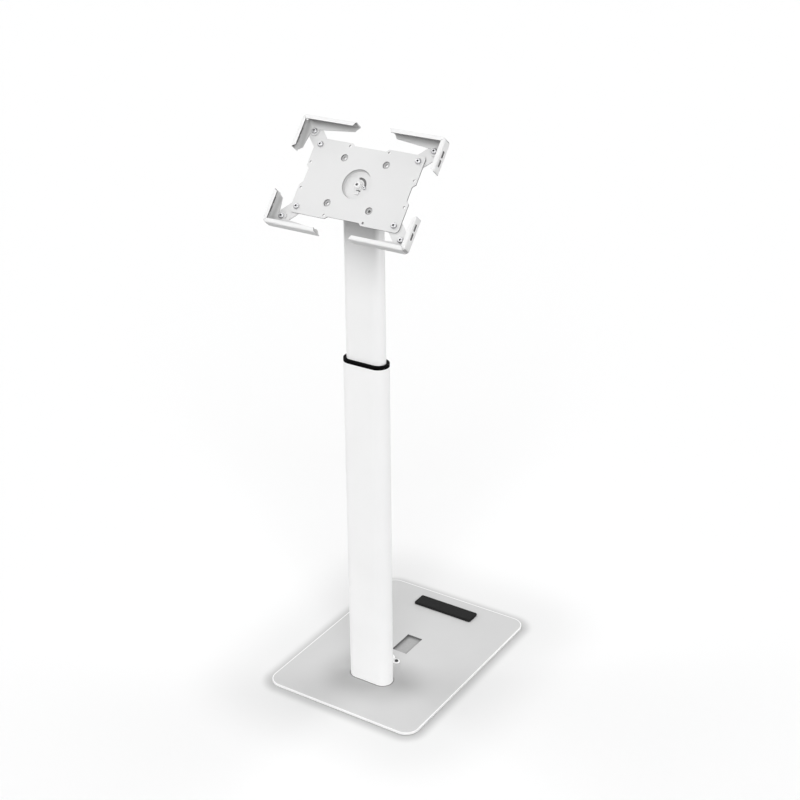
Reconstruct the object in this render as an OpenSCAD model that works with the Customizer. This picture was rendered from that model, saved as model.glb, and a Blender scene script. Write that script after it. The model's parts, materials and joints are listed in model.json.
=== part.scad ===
// Tablet floor stand: a flat steel base, a telescopic column and a tilting, turning plate with four claws.
// Origin at the centre of the base on the floor, X to the right, Y to the back, Z up, millimetres.

/* [Base] */
// Width of the base plate, left to right
base_w = 296; // [260:1:360]
// Depth of the base plate, front to back
base_d = 398; // [360:1:460]
// Thickness of the base plate
base_t = 4; // [3:0.5:8]
// Radius of the base plate's corners
base_r = 25; // [21:1:50]
// Thickness of the foam mat under the base
mat_t = 1; // [0.5:0.5:3]
// Distance of the mat's edge from the base's sides
mat_in = 4; // [2:1:20]
// Distance from the base's front edge back to the column's axis
col_set = 108; // [90:1:150]
// Width of the cable hole in the base
hole_w = 30; // [16:1:60]
// Depth of the cable hole in the base
hole_d = 54; // [30:1:70]
// Distance from the column's axis back to the cable hole
hole_back = 88; // [80:1:100]
// Width of the rubber pad at the back of the base
pad_w = 120; // [60:1:200]
// Depth of the rubber pad
pad_d = 29; // [15:1:40]
// Height of the rubber pad
pad_h = 4.5; // [2:0.5:8]
// Distance from the rubber pad to the base's rear edge
pad_gap = 27; // [20:1:40]
// Radius of the rubber pad's corners
pad_r = 3; // [1:0.5:6]

/* [Column] */
// Distance between the centres of the column's two round sides
col_span = 45; // [40:1:70]
// Depth of the outer tube, front to back
outer_d = 36.3; // [34:0.1:44]
// Depth of the inner tube, front to back
inner_d = 25.3; // [25:0.1:28]
// Wall thickness of both tubes
tube_t = 2; // [1.5:0.1:2.5]
// Length of the outer tube
outer_len = 597; // [560:1:640]
// Length of the inner tube
inner_len = 560; // [540:1:600]
// How far the inner tube stands out of the collar as drawn
reveal = 257; // [230:1:300]
// Height of the collar's visible rim
rim_h = 6; // [4:0.5:12]
// Length of the collar's sleeve inside the outer tube
sleeve_len = 50; // [30:1:70]
// Height of the block that holds the outer tube on the base
block_h = 24; // [18:1:34]
// Length of the glide on the inner tube's lower end
glide_len = 30; // [20:1:45]
// Thickness of the glide's lip under the inner tube
glide_lip = 3; // [2:0.5:5]
// Width of the cable slots in the tubes
slot_w = 14; // [8:1:18]
// Height of the cable slots in the tubes
slot_h = 20; // [14:1:26]
// Distance from the block to the outlet slot in the outer tube
outlet_up = 5; // [4:1:20]
// Distance from the cap's plug down to the inlet slot in the inner tube
inlet_down = 3; // [2:1:10]

/* [Gas spring] */
// Outer diameter of the gas spring's cylinder
gas_d = 18; // [16:0.5:18]
// Wall thickness of the cylinder
gas_t = 1.3; // [1:0.1:2]
// Length of the cylinder
gas_len = 566; // [540:1:574]
// Diameter of the piston rod
rod_d = 8; // [6:0.5:10]
// Length of the piston rod with its piston
rod_len = 442; // [442:1:470]
// Length of the piston and of the cylinder's end plugs
piston_len = 12; // [8:1:14]

/* [Tilt hinge] */
// Angle of the plate from upright, as drawn
tilt = 40.2; // [10:0.1:80]
// Distance from the hinge axis to the plate's front face
standoff = 23.3; // [23:0.1:30]
// Height of the hinge axis over the column's cap
hinge_up = 16.8; // [15:0.1:24]
// Thickness of the cap's flange
cap_t = 3; // [2:0.5:6]
// Length of the cap's plug inside the inner tube
plug_len = 20; // [18:1:30]
// Depth of the piston rod's seat in the cap
rod_seat = 16; // [12:1:17]
// Thickness of the fork's base
fork_t = 4; // [3:0.5:5]
// Depth of the fork's base, front to back
fork_d = 18; // [16:1:20]
// Thickness of the fork's two ears
ear_t = 5; // [4:0.5:8]
// Radius of the round ends of the fork's and the yoke's ears
ear_r = 9; // [8:0.5:10]
// Distance between the outer faces of the yoke's ears
yoke_w = 36; // [32:1:44]
// Thickness of the yoke's ears
yoke_ear_t = 4; // [3:0.5:6]
// Thickness of the yoke's round disc
yoke_t = 3; // [2:0.5:3.5]
// Diameter of the yoke's disc
yoke_d = 40; // [36:1:42]
// Diameter of the hinge bolt
hinge_d = 8; // [6:0.5:8]
// Thickness of the two washers on the hinge bolt
washer_t = 0.8; // [0.5:0.1:1.5]
// Diameter of the two screws that hold the fork on the cap
fork_screw_d = 4; // [3:0.5:4]
// Distance of the fork's screws from the middle
fork_screw_x = 10; // [9:0.5:12]
// Length of the fork's screws
fork_screw_len = 16; // [12:1:20]

/* [Mount plate] */
// Width of the mount plate
plate_w = 196; // [180:1:210]
// Height of the mount plate
plate_h = 125; // [120:1:140]
// Thickness of the mount plate
plate_t = 2; // [1.5:0.1:2.5]
// Radius of the mount plate's corners
plate_r = 7; // [3:0.5:10]
// Width of the shallow notch in the top and bottom edges
notch_w = 56; // [30:1:60]
// Depth of the notch in the top and bottom edges
notch_d = 3.8; // [2:0.1:6]
// Height of the shallow notch in the side edges
side_notch_h = 22; // [14:1:30]
// Depth of the notch in the side edges
side_notch_d = 5; // [2:0.1:6]
// Length of the slanted ends of the notches
notch_ramp = 5; // [3:0.5:8]
// Diameter of the pressed recess in the middle
recess_d = 48.5; // [46:0.5:56]
// Depth of the pressed recess
recess_h = 5.5; // [4.5:0.1:6]
// Spacing of the four threaded-through mounting holes
vesa = 75; // [75:25:100]
// Diameter of the four mounting holes
vesa_hole_d = 4.5; // [4:0.1:5.5]
// Diameter of the pressed dimple round each mounting hole
dimple_d = 12; // [10:0.5:14]
// Depth of the pressed dimples
dimple_h = 2; // [1:0.1:2.5]
// Diameter of the eight small holes near the edges
pin_hole_d = 4; // [3:0.1:5]
// Distance of the top and bottom small holes from the middle
pin_hole_u = 35; // [33:1:45]
// Distance of the side small holes from the middle
pin_hole_v = 21.5; // [18:0.5:28]
// Distance of the small holes from the plate's edge
pin_hole_in = 5; // [4:0.5:8]

/* [Turning joint] */
// Radius of the arc slot about the pivot
arc_r = 12; // [11:0.1:14]
// Angle of the arc slot's lower end
arc_low = -12; // [-16:1:-11]
// Angle of the arc slot's upper end
arc_high = 95; // [90:1:100]
// Angle at which the stop screw stands
stop_angle = -9.5; // [-10:0.5:-8]
// Diameter of the stop screw
stop_d = 3; // [2.5:0.1:3.5]
// Diameter of the pivot bolt
pivot_d = 6; // [5:0.5:6.5]
// Thickness of the washer under the pivot bolt's head
pivot_washer_t = 1; // [0.5:0.1:1.5]
// How far this washer stands out round the head
pivot_washer_rim = 2; // [1:0.5:2]
// Thickness of the friction disc behind the recess
disc_t = 0.8; // [0.5:0.1:1.5]
// Width of the raised tongue beside the pivot
tongue_w = 7; // [5:0.5:9]
// Length of the raised tongue
tongue_l = 5.5; // [4:0.5:7]
// Height of the raised tongue over the recess floor
tongue_h = 1.6; // [0.8:0.1:2.5]
// Distance of the tongue's middle to the right of the pivot
tongue_x = 2.5; // [0:0.5:4]
// Distance from the pivot down to the tongue's upper edge
tongue_down = 9.1; // [9:0.1:11]
// Height of the opening above the tongue
tongue_gap = 2.2; // [1:0.1:3]
// How far the opening runs past the tongue's right side
tongue_side = 1.5; // [0.5:0.5:3]

/* [Claws] */
// Width over all four claws
grip_w = 255; // [250:1:275]
// Height over all four claws
grip_h = 182; // [180:1:195]
// Length of each claw's leg along the top or bottom
leg_long = 97; // [70:1:110]
// Length of each claw's leg along the side
leg_short = 55; // [50:1:65]
// Thickness of the claws and the arms
claw_t = 2; // [1.5:0.1:2.5]
// Height of the claws' lips in front of the plate
lip_out = 15.5; // [12:0.5:24]
// Width of the claws' lips
lip_w = 7; // [4:0.5:9]
// Radius of the claws' outer corners
claw_r = 7; // [5:0.5:10]
// Width of the back flange along the long leg, at the corner
flange_long = 16.5; // [12:0.5:17]
// Width of the back flange along the short leg, at the corner
flange_short = 14.5; // [11:0.5:15]
// Width of the back flange at the ends of the legs
flange_end = 9.5; // [8:0.5:11]
// Length of the slanted ends of the legs
leg_slant = 7; // [4:0.5:12]
// Width of the opening between the walls at the outer corner
corner_gap = 5; // [3:0.5:7]
// Width of the seam between the two lips
seam = 0.6; // [0.4:0.1:1.5]
// Length of the windows in the short wall
window_l = 11; // [8:0.5:12]
// Height of the windows in the short wall
window_h = 5; // [3:0.5:8]
// Distance between the two windows' centres
window_pitch = 14.2; // [13:0.1:16]
// Distance from the claw's corner to the nearer window's centre
window_from = 25.3; // [20:0.1:30]
// Distance of the windows' centres in front of the wall's middle
window_up = 1; // [0:0.5:2]
// Height of the wall left over and under the corner opening
corner_web = 0.5; // [0.3:0.1:2]
// Radius of the round lobe round the claw screw
lobe_r = 7.5; // [7:0.1:8]
// Distance from the plate's edges in to the clamp screws
clamp_in = 10.4; // [9:0.1:13]
// Distance along the arm from the clamp screw to the claw screw
arm_reach = 27.7; // [26:0.1:32]
// Width of the arms
arm_w = 24; // [18:1:26]
// How far each arm slides either way from its place as drawn
arm_travel = 7; // [3:0.5:7]
// How far each arm runs inwards past its clamp screw
arm_tail = 22; // [18:1:26]
// Diameter of the clamp screws and claw screws
clamp_d = 5; // [4:0.5:5]
// Diameter of the two pegs on each arm that keep its claw square
peg_d = 3; // [2:0.5:3]
// Height of the pegs
peg_h = 1; // [0.5:0.1:1.5]
// Distance of each peg from the claw screw, both across and along
peg_off = 3.8; // [3.6:0.1:4]

/* [Fittings] */
// Diameter of the four bolts that hold the column on the base
bolt_d = 6; // [5:0.5:8]
// Spacing of the column's bolts, left to right
bolt_span_x = 48; // [44:1:52]
// Spacing of the column's bolts, front to back
bolt_span_y = 14; // [12:1:15]
// Height of the column's block over the ends of its bolts
bolt_cover = 5; // [1:1:10]
// Distance from the column's axis back to the cable saddle
saddle_back = 58; // [45:1:70]
// Spacing of the cable saddle's screws
saddle_span = 27; // [25:0.5:36]
// Width of the cable saddle along the cable
saddle_w = 12; // [10:0.5:18]
// Inner radius of the cable saddle's arch
saddle_r = 5.5; // [5:0.1:7]
// Thickness of the cable saddle
saddle_t = 1.8; // [1.2:0.1:2.5]
// Diameter of the cable saddle's screws
saddle_screw_d = 3.5; // [3:0.1:4]
// How far a screw's end stands out past its nut
screw_end = 1; // [0.5:0.5:2]

/* [Clearances] */
// Gap round pieces that are fixed in each other
seat_gap = 0.1; // [0.05:0.01:0.2]
// Gap between faces that slide past each other
slide_gap = 0.3; // [0.2:0.05:0.5]
// Gap round pins and shafts that turn or run in a bore
run_gap = 0.06; // [0.03:0.01:0.1]

/* [Hidden] */
$fn = 96;
// A little extra so that a cut passes right through
cut = 1;

// Column heights
col_y = col_set - base_d / 2;
base_top = mat_t + base_t;
outer_top = base_top + outer_len;
rim_top = outer_top + rim_h;
inner_top = rim_top + reveal;
inner_low = inner_top - inner_len;
block_top = base_top + block_h;
cap_top = inner_top + cap_t;
fork_top = cap_top + fork_t;
hinge_z = cap_top + hinge_up;
plug_low = inner_top - plug_len;

// Radii of the column's round sides
outer_r = outer_d / 2;
outer_bore_r = outer_r - tube_t;
inner_r = inner_d / 2;
inner_bore_r = inner_r - tube_t;

// Layers behind the plate's front face, counted down from zero
recess_floor = -recess_h;
recess_back = recess_floor - plate_t;
disc_top = recess_back - seat_gap;
yoke_top = disc_top - disc_t;
yoke_back = yoke_top - yoke_t;
arm_top = -plate_t - seat_gap;
arm_back = arm_top - claw_t;
claw_back = arm_top;
claw_front = claw_back + claw_t;
claw_nut_top = arm_back;
clamp_nut_top = arm_back - seat_gap;
lip_back = lip_out - claw_t;
pivot_head_z = recess_floor + pivot_washer_t + 2 * seat_gap;

// Room between the yoke's and the fork's ears for a washer
fork_in = yoke_w / 2 + washer_t + 2 * seat_gap;
fork_out = fork_in + ear_t;
// The arc slot fits the stop screw that runs in it
arc_w = stop_d + 2 * slide_gap;

// Screw heads, their sockets and nuts, in proportion to the shank
function head_r(d) = 0.95 * d;
function head_h(d) = 0.6 * d;
function socket_r(d) = 0.34 * d;
function socket_h(d) = 0.4 * d;
function nut_r(d) = 0.92 * d;
function nut_h(d) = 0.8 * d;
function csk_r(d) = d;
function csk_h(d) = d / 2;

// Clamp screws at the plate's corners and claw screws further out along the diagonal
clamp_u = plate_w / 2 - clamp_in;
clamp_v = plate_h / 2 - clamp_in;
claw_u = clamp_u + arm_reach / sqrt(2);
claw_v = clamp_v + arm_reach / sqrt(2);
// Outer corner of the top right claw
corner_u = grip_w / 2;
corner_v = grip_h / 2;

module stadium(span, r) {
    square([span, 2 * r], center = true);
    for (side = [-1, 1]) translate([side * span / 2, 0]) circle(r);
}

module stadium_ring(span, r_out, r_in) {
    difference() {
        stadium(span, r_out);
        stadium(span, r_in);
    }
}

module rounded_rect(w, d, r) {
    square([w - 2 * r, d], center = true);
    square([w, d - 2 * r], center = true);
    for (x = [-1, 1]) for (y = [-1, 1]) translate([x * (w / 2 - r), y * (d / 2 - r)]) circle(r);
}

// Moves its children into the tilted frame whose Z axis is the plate's normal, at the plate's front face
module on_head() {
    translate([0, col_y, hinge_z]) rotate([90 - tilt, 0, 0]) translate([0, 0, standoff]) children();
}

module at_column() {
    translate([0, col_y, 0]) children();
}

// Mirrors its children from the top right corner to one of the four corners
module corner(side, end) {
    mirror([side < 0 ? 1 : 0, 0, 0]) mirror([0, end < 0 ? 1 : 0, 0]) children();
}

// Round-headed socket screw, head above zero and shank below
module socket_screw(d, len) {
    edge = head_h(d) / 3;
    difference() {
        union() {
            cylinder(h = head_h(d) - edge, r = head_r(d));
            translate([0, 0, head_h(d) - edge]) cylinder(h = edge, r1 = head_r(d), r2 = head_r(d) - edge);
            translate([0, 0, -len]) cylinder(h = len, d = d);
        }
        translate([0, 0, head_h(d) - socket_h(d)]) cylinder(h = head_h(d), r = socket_r(d), $fn = 6);
    }
}

// Flat-headed socket screw, its head's face at zero and its shank below
module flat_screw(d, len) {
    difference() {
        union() {
            translate([0, 0, -csk_h(d)]) cylinder(h = csk_h(d), r1 = d / 2, r2 = csk_r(d));
            translate([0, 0, -len]) cylinder(h = len, d = d);
        }
        translate([0, 0, -socket_h(d)]) cylinder(h = csk_h(d), r = socket_r(d), $fn = 6);
    }
}

// Hole that the flat-headed screw sits in
module flat_screw_hole(d, len) {
    translate([0, 0, -csk_h(d)]) cylinder(h = csk_h(d), r1 = d / 2 + seat_gap, r2 = csk_r(d) + seat_gap);
    cylinder(h = cut, r = csk_r(d) + seat_gap);
    translate([0, 0, -len]) cylinder(h = len, d = d + 2 * seat_gap);
}

// Hexagon nut hanging down from zero
module hex_nut(d) {
    translate([0, 0, -nut_h(d)]) difference() {
        cylinder(h = nut_h(d), r = nut_r(d), $fn = 6);
        translate([0, 0, -cut]) cylinder(h = nut_h(d) + 2 * cut, r = d / 2 + seat_gap / 2);
    }
}

module washer(d_out, d_in, t) {
    difference() {
        cylinder(h = t, d = d_out);
        translate([0, 0, -cut]) cylinder(h = t + 2 * cut, d = d_in);
    }
}

module at_bolts() {
    for (x = [-1, 1]) for (y = [-1, 1])
        translate([x * bolt_span_x / 2, col_y + y * bolt_span_y / 2, mat_t]) mirror([0, 0, 1]) children();
}

module at_saddle_screws() {
    for (x = [-1, 1]) translate([x * saddle_span / 2, col_y + saddle_back, base_top + saddle_t]) children();
}

module base_plate() {
    color("gainsboro") difference() {
        translate([0, 0, mat_t]) linear_extrude(base_t) difference() {
            rounded_rect(base_w, base_d, base_r);
            translate([-hole_w / 2, col_y + hole_back]) square([hole_w, hole_d]);
        }
        at_bolts() flat_screw_hole(bolt_d, base_t + cut);
        at_saddle_screws() translate([0, 0, -saddle_t - base_t - cut])
            cylinder(h = base_t + 2 * cut, d = saddle_screw_d + 2 * seat_gap);
    }
}

// Foam mat that protects the floor and closes the cable hole from below
module base_mat() {
    color([0.35, 0.35, 0.35]) linear_extrude(mat_t)
        rounded_rect(base_w - 2 * mat_in, base_d - 2 * mat_in, base_r - mat_in);
}

module rear_pad() {
    rim = pad_r / 3;
    color([0.2, 0.2, 0.2]) translate([0, base_d / 2 - pad_gap - pad_d / 2, base_top]) {
        linear_extrude(pad_h - rim) rounded_rect(pad_w, pad_d, pad_r);
        translate([0, 0, pad_h - rim]) linear_extrude(rim)
            rounded_rect(pad_w - 2 * rim, pad_d - 2 * rim, pad_r - rim);
    }
}

module column_block() {
    color("silver") difference() {
        at_column() translate([0, 0, base_top]) linear_extrude(block_h)
            stadium(col_span, outer_bore_r - seat_gap);
        at_bolts() translate([0, 0, -block_h - base_t]) cylinder(h = block_h, d = bolt_d + 2 * seat_gap);
        at_column() translate([0, 0, block_top - piston_len]) cylinder(h = block_h, d = rod_d + 2 * seat_gap);
    }
}

module column_bolts() {
    color([0.5, 0.5, 0.52]) at_bolts() flat_screw(bolt_d, base_t + block_h - bolt_cover);
}

module outer_tube() {
    color("whitesmoke") at_column() difference() {
        translate([0, 0, base_top]) linear_extrude(outer_len) stadium_ring(col_span, outer_r, outer_bore_r);
        cable_slot(block_top + outlet_up, outer_r);
    }
}

// Round-ended slot through a tube's rear wall, its lower end at the height given
module cable_slot(low, wall_r) {
    translate([0, wall_r + cut, low + slot_h / 2]) rotate([90, 0, 0]) linear_extrude(tube_t + 2 * cut) {
        square([slot_w, slot_h - slot_w], center = true);
        for (end = [-1, 1]) translate([0, end * (slot_h - slot_w) / 2]) circle(slot_w / 2);
    }
}

module guide_collar() {
    bore_r = inner_r + slide_gap;
    color([0.05, 0.05, 0.05]) at_column() {
        translate([0, 0, outer_top]) linear_extrude(rim_h) stadium_ring(col_span, outer_r, bore_r);
        translate([0, 0, outer_top - sleeve_len]) linear_extrude(sleeve_len)
            stadium_ring(col_span, outer_bore_r - seat_gap, bore_r);
    }
}

module cable_saddle() {
    foot_r = saddle_w / 2;
    arch_r = saddle_r + saddle_t;
    color("whitesmoke") difference() {
        union() {
            translate([0, col_y + saddle_back, base_top]) linear_extrude(saddle_t)
                stadium(saddle_span, foot_r);
            translate([0, col_y + saddle_back + saddle_w / 2, base_top + saddle_t]) rotate([90, 0, 0])
                linear_extrude(saddle_w) saddle_arch(arch_r);
        }
        translate([0, col_y + saddle_back + saddle_w / 2 + cut, base_top + saddle_t]) rotate([90, 0, 0])
            linear_extrude(saddle_w + 2 * cut) saddle_tunnel();
        at_saddle_screws() translate([0, 0, -saddle_t - cut])
            cylinder(h = saddle_t + 2 * cut, d = saddle_screw_d + 2 * seat_gap);
    }
}

// Half round outline of the saddle's arch above its feet
module saddle_arch(r) {
    intersection() {
        circle(r);
        translate([-r, 0]) square([2 * r, r]);
    }
}

// Outline of the space under the arch, down to the base
module saddle_tunnel() {
    saddle_arch(saddle_r);
    translate([-saddle_r, -saddle_t - cut]) square([2 * saddle_r, saddle_t + cut]);
}

module saddle_screws() {
    color("silver") at_saddle_screws() socket_screw(saddle_screw_d, saddle_t + base_t);
}

module gas_cylinder() {
    bore_d = gas_d - 2 * gas_t;
    color([0.25, 0.25, 0.27]) at_column() translate([0, 0, block_top]) difference() {
        union() {
            cylinder(h = gas_len, d = gas_d);
            translate([0, 0, -piston_len + seat_gap]) cylinder(h = piston_len, d = rod_d);
        }
        translate([0, 0, piston_len]) cylinder(h = gas_len - 2 * piston_len, d = bore_d);
        translate([0, 0, gas_len - piston_len - cut])
            cylinder(h = piston_len + 2 * cut, d = rod_d + 2 * run_gap);
    }
}

module inner_tube() {
    color("whitesmoke") at_column() difference() {
        translate([0, 0, inner_low]) linear_extrude(inner_len) stadium_ring(col_span, inner_r, inner_bore_r);
        cable_slot(plug_low - inlet_down - slot_h, inner_r);
    }
}

module glide_shoe() {
    color([0.1, 0.1, 0.1]) at_column() {
        translate([0, 0, inner_low]) linear_extrude(glide_len)
            stadium_ring(col_span, outer_bore_r - slide_gap, inner_r + seat_gap);
        translate([0, 0, inner_low - glide_lip]) linear_extrude(glide_lip)
            stadium_ring(col_span, outer_bore_r - slide_gap, inner_bore_r);
    }
}

module gas_rod() {
    rod_top = plug_low + rod_seat;
    color("silver") at_column() {
        translate([0, 0, rod_top - rod_len]) cylinder(h = rod_len, d = rod_d);
        translate([0, 0, rod_top - rod_len]) cylinder(h = piston_len, d = gas_d - 2 * gas_t - 2 * slide_gap);
    }
}

module column_cap() {
    color([0.85, 0.85, 0.85]) at_column() difference() {
        union() {
            translate([0, 0, inner_top]) linear_extrude(cap_t) stadium(col_span, inner_r);
            translate([0, 0, plug_low]) linear_extrude(plug_len) stadium(col_span, inner_bore_r - seat_gap);
        }
        translate([0, 0, plug_low - cut]) cylinder(h = rod_seat + cut + seat_gap, d = rod_d + 2 * seat_gap);
        at_fork_screws() translate([0, 0, -fork_t - plug_len])
            cylinder(h = plug_len, d = fork_screw_d + 2 * seat_gap);
    }
}

module at_fork_screws() {
    for (x = [-1, 1]) translate([x * fork_screw_x, 0, fork_top]) children();
}

// An ear across X, from a flat root to a round end about the hinge axis
module ear(inner_x, t, root) {
    rotate([90, 0, 90]) translate([0, 0, inner_x]) linear_extrude(t) difference() {
        union() {
            circle(ear_r);
            translate([-ear_r, root < 0 ? root : 0]) square([2 * ear_r, abs(root)]);
        }
        circle(hinge_d / 2 + run_gap);
    }
}

module tilt_fork() {
    color([0.88, 0.88, 0.88]) at_column() {
        difference() {
            translate([-fork_out, -fork_d / 2, cap_top]) cube([2 * fork_out, fork_d, fork_t]);
            at_fork_screws() flat_screw_hole(fork_screw_d, fork_t + cut);
        }
        translate([0, 0, hinge_z]) for (x = [-fork_out, fork_in]) ear(x, ear_t, fork_top - hinge_z);
    }
}

module fork_screws() {
    color("silver") at_column() at_fork_screws() flat_screw(fork_screw_d, fork_screw_len);
}

module hinge_bolt() {
    color("silver") translate([fork_out, col_y, hinge_z]) rotate([0, 90, 0])
        socket_screw(hinge_d, 2 * fork_out + nut_h(hinge_d) + screw_end);
}

module hinge_nut() {
    color([0.6, 0.6, 0.62]) translate([-fork_out, col_y, hinge_z]) rotate([0, 90, 0]) hex_nut(hinge_d);
}

module hinge_washers() {
    color([0.15, 0.15, 0.15]) translate([0, col_y, hinge_z])
        for (x = [yoke_w / 2 + seat_gap, -fork_in + seat_gap])
            translate([x, 0, 0]) rotate([0, 90, 0])
                washer(2 * ear_r, hinge_d + 2 * run_gap, washer_t);
}

module tilt_yoke() {
    root = standoff + yoke_back;
    color([0.9, 0.9, 0.9]) difference() {
        on_head() {
            translate([0, 0, yoke_back]) cylinder(h = yoke_t, d = yoke_d);
            translate([0, 0, -standoff]) for (x = [-yoke_w / 2, yoke_w / 2 - yoke_ear_t])
                ear(x, yoke_ear_t, root);
        }
        on_head() translate([0, 0, yoke_back - cut]) {
            cylinder(h = yoke_t + 2 * cut, d = pivot_d + 2 * seat_gap);
            at_stop() cylinder(h = yoke_t + 2 * cut, d = stop_d + 2 * seat_gap);
        }
    }
}

// The stop screw stands in the arc slot
module at_stop() {
    translate([arc_r * cos(stop_angle), arc_r * sin(stop_angle), 0]) children();
}

module pivot_bolt() {
    color("silver") on_head() translate([0, 0, pivot_head_z])
        socket_screw(pivot_d, pivot_head_z - yoke_back + nut_h(pivot_d) + screw_end);
}

module pivot_washer() {
    color("silver") on_head() translate([0, 0, recess_floor + seat_gap])
        washer(2 * (head_r(pivot_d) + pivot_washer_rim), pivot_d + 2 * run_gap, pivot_washer_t);
}

module friction_disc() {
    color([0.15, 0.15, 0.15]) on_head() translate([0, 0, yoke_top]) difference() {
        cylinder(h = disc_t, d = yoke_d);
        translate([0, 0, -cut]) {
            cylinder(h = disc_t + 2 * cut, d = pivot_d + 2 * seat_gap);
            at_stop() cylinder(h = disc_t + 2 * cut, d = stop_d + 2 * seat_gap);
        }
    }
}

module pivot_nut() {
    color([0.6, 0.6, 0.62]) on_head() translate([0, 0, yoke_back]) hex_nut(pivot_d);
}

module stop_screw() {
    color("silver") on_head() at_stop() translate([0, 0, recess_floor + seat_gap])
        socket_screw(stop_d, recess_floor - yoke_back + seat_gap);
}

// Outline of the mount plate with its four shallow notches
module plate_outline() {
    difference() {
        rounded_rect(plate_w, plate_h, plate_r);
        for (end = [-1, 1]) mirror([0, end < 0 ? 1 : 0]) edge_notch(plate_h / 2, notch_w, notch_d);
        for (side = [-1, 1]) mirror([side < 0 ? 1 : 0, 0]) rotate(-90)
            edge_notch(plate_w / 2, side_notch_h, side_notch_d);
    }
}

module edge_notch(edge, w, d) {
    polygon([
        [-w / 2, edge - d], [w / 2, edge - d],
        [w / 2 + notch_ramp, edge], [w / 2 + notch_ramp, edge + cut],
        [-w / 2 - notch_ramp, edge + cut], [-w / 2 - notch_ramp, edge]
    ]);
}

// A dish pressed into the sheet: the solid that hangs below and the hollow that is taken out above
module dish_solid(d, depth) {
    draft = depth / 4;
    outer_rad = d / 2 + plate_t;
    translate([0, 0, -depth - plate_t]) cylinder(h = depth + plate_t, r1 = outer_rad - draft, r2 = outer_rad);
}

module dish_hollow(d, depth) {
    draft = depth / 4;
    translate([0, 0, -depth]) cylinder(h = depth, r1 = d / 2 - draft, r2 = d / 2);
    cylinder(h = cut, r = d / 2);
}

module at_vesa() {
    for (x = [-1, 1]) for (y = [-1, 1]) translate([x * vesa / 2, y * vesa / 2, 0]) children();
}

module at_pin_holes() {
    for (x = [-1, 1]) for (y = [-1, 1]) {
        translate([x * pin_hole_u, y * (plate_h / 2 - pin_hole_in), 0]) children();
        translate([x * (plate_w / 2 - pin_hole_in), y * pin_hole_v, 0]) children();
    }
}

module at_clamps() {
    for (x = [-1, 1]) for (y = [-1, 1]) translate([x * clamp_u, y * clamp_v, 0]) children();
}

// Curved slot about the pivot: a ring cut to its angles, and two round ends drilled a little wider
module arc_slot() {
    far = 2 * arc_r;
    mid = (arc_low + arc_high) / 2;
    linear_extrude(plate_t + 2 * cut) {
        intersection() {
            difference() {
                circle(arc_r + arc_w / 2);
                circle(arc_r - arc_w / 2);
            }
            polygon([
                [0, 0], [far * cos(arc_low), far * sin(arc_low)],
                [far * cos(mid), far * sin(mid)], [far * cos(arc_high), far * sin(arc_high)]
            ]);
        }
        for (a = [arc_low, arc_high]) rotate(a) translate([arc_r, 0]) circle(arc_w / 2 + seat_gap);
    }
}

module mount_plate() {
    floor_low = recess_back - cut;
    color("whitesmoke") on_head() {
        difference() {
            union() {
                translate([0, 0, -plate_t]) linear_extrude(plate_t) plate_outline();
                dish_solid(recess_d, recess_h);
                at_vesa() dish_solid(dimple_d, dimple_h);
            }
            dish_hollow(recess_d, recess_h);
            at_vesa() dish_hollow(dimple_d, dimple_h);
            at_vesa() translate([0, 0, -dimple_h - plate_t - cut])
                cylinder(h = dimple_h + plate_t + 2 * cut, d = vesa_hole_d);
            at_pin_holes() translate([0, 0, -plate_t - cut]) cylinder(h = plate_t + 2 * cut, d = pin_hole_d);
            at_clamps() translate([0, 0, -plate_t - cut])
                cylinder(h = plate_t + 2 * cut, d = clamp_d + 2 * seat_gap);
            translate([0, 0, floor_low]) cylinder(h = plate_t + 2 * cut, d = pivot_d + 2 * run_gap);
            translate([0, 0, floor_low]) arc_slot();
            translate([tongue_x - tongue_w / 2, -tongue_down, floor_low])
                cube([tongue_w + tongue_side, tongue_gap, plate_t + 2 * cut]);
        }
        translate([tongue_x - tongue_w / 2, -tongue_down - tongue_l, recess_floor - plate_t / 2])
            cube([tongue_w, tongue_l, plate_t / 2 + tongue_h]);
    }
}

module clamp_screws() {
    color("silver") on_head() at_clamps()
        socket_screw(clamp_d, -clamp_nut_top + nut_h(clamp_d) + screw_end);
}

module clamp_nuts() {
    color([0.6, 0.6, 0.62]) on_head() at_clamps() translate([0, 0, clamp_nut_top]) hex_nut(clamp_d);
}

// The arm of the top right corner lies along the diagonal behind the plate
module arm(side, end) {
    slot_half = arm_travel + slide_gap;
    slot_r = clamp_d / 2 + slide_gap;
    color("whitesmoke") on_head() corner(side, end) {
        translate([clamp_u, clamp_v, arm_back]) rotate(45) linear_extrude(claw_t) difference() {
            union() {
                translate([-arm_tail, -arm_w / 2]) square([arm_tail + arm_reach, arm_w]);
                translate([arm_reach, 0]) circle(arm_w / 2);
            }
            translate([-slot_half, -slot_r]) square([2 * slot_half, 2 * slot_r]);
            for (s = [-1, 1]) translate([s * slot_half, 0]) circle(slot_r);
            translate([arm_reach, 0]) circle(clamp_d / 2 + seat_gap);
        }
        for (s = [-1, 1]) translate([claw_u - s * peg_off, claw_v + s * peg_off, arm_top])
            cylinder(h = peg_h, d = peg_d);
    }
}

// The claw's back flange: two legs that narrow towards their ends, and a lobe for the screw
module flange_outline() {
    u = corner_u;
    v = corner_v;
    u_end = u - leg_long;
    v_end = v - leg_short;
    neck_w = 1.9 * lobe_r;
    neck_l = (u - claw_u + v - claw_v - claw_r) / 2;
    difference() {
        union() {
            polygon([
                [u, v], [u_end, v], [u_end + leg_slant, v - flange_end],
                [u - flange_short - lobe_r, v - flange_long], [u - flange_short, v - flange_long],
                [u - flange_end, v_end + leg_slant], [u, v_end]
            ]);
            translate([claw_u, claw_v]) circle(lobe_r);
            translate([claw_u, claw_v]) rotate(45) translate([0, -neck_w / 2]) square([neck_l, neck_w]);
        }
        corner_cut();
    }
}

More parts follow.
